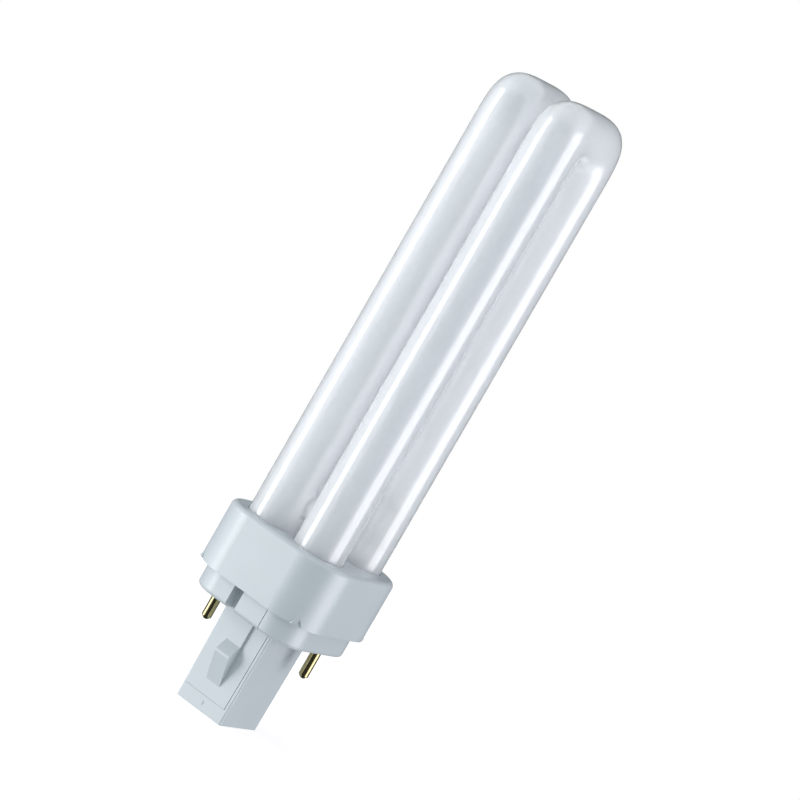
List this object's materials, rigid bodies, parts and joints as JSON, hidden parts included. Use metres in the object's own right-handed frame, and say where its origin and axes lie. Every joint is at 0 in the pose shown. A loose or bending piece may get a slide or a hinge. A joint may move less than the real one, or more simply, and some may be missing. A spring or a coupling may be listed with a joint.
{
  "type": "compact fluorescent lamp",
  "caption": "Compact fluorescent lamp: U-bent glass tubes side by side in a white plug base with brass contact pins, latch teeth and a rectangular centre post",
  "frame": {"origin": "centre of the end face of the centre post, the lamp's lowest face", "axes": "+Z along the lamp from the post to the bends, X across the two bent tubes, Y along the legs of each bent tube, the left latch face in the picture looking to -Y"},
  "size_m": [0.034, 0.034, 0.1535],
  "materials": {
    "tube_glass": "polished",
    "white_plastic": "satin",
    "pin_brass": "polished",
    "cement": "rough",
    "starter_glass": "polished",
    "lead_wire": "drawn",
    "cathode_wire": "coated",
    "capacitor_case": "moulded"
  },
  "bodies": {
    "root": {"discharge_tube": "tube_glass", "collar": "white_plastic", "cap_body": "white_plastic", "cap_lid": "white_plastic", "tube_cement": "cement", "starter_bulb": "starter_glass", "starter_electrode": "lead_wire", "starter_bimetal": "lead_wire", "suppression_capacitor": "capacitor_case", "left_contact_pin": "pin_brass", "left_cathode_coil": "cathode_wire", "left_cathode_bead": "starter_glass", "left_pin_lead": "lead_wire", "left_starter_lead": "lead_wire", "left_capacitor_lead": "lead_wire", "right_contact_pin": "pin_brass", "right_cathode_coil": "cathode_wire", "right_cathode_bead": "starter_glass", "right_pin_lead": "lead_wire", "right_starter_lead": "lead_wire", "right_capacitor_lead": "lead_wire"}
  },
  "joints": []
}
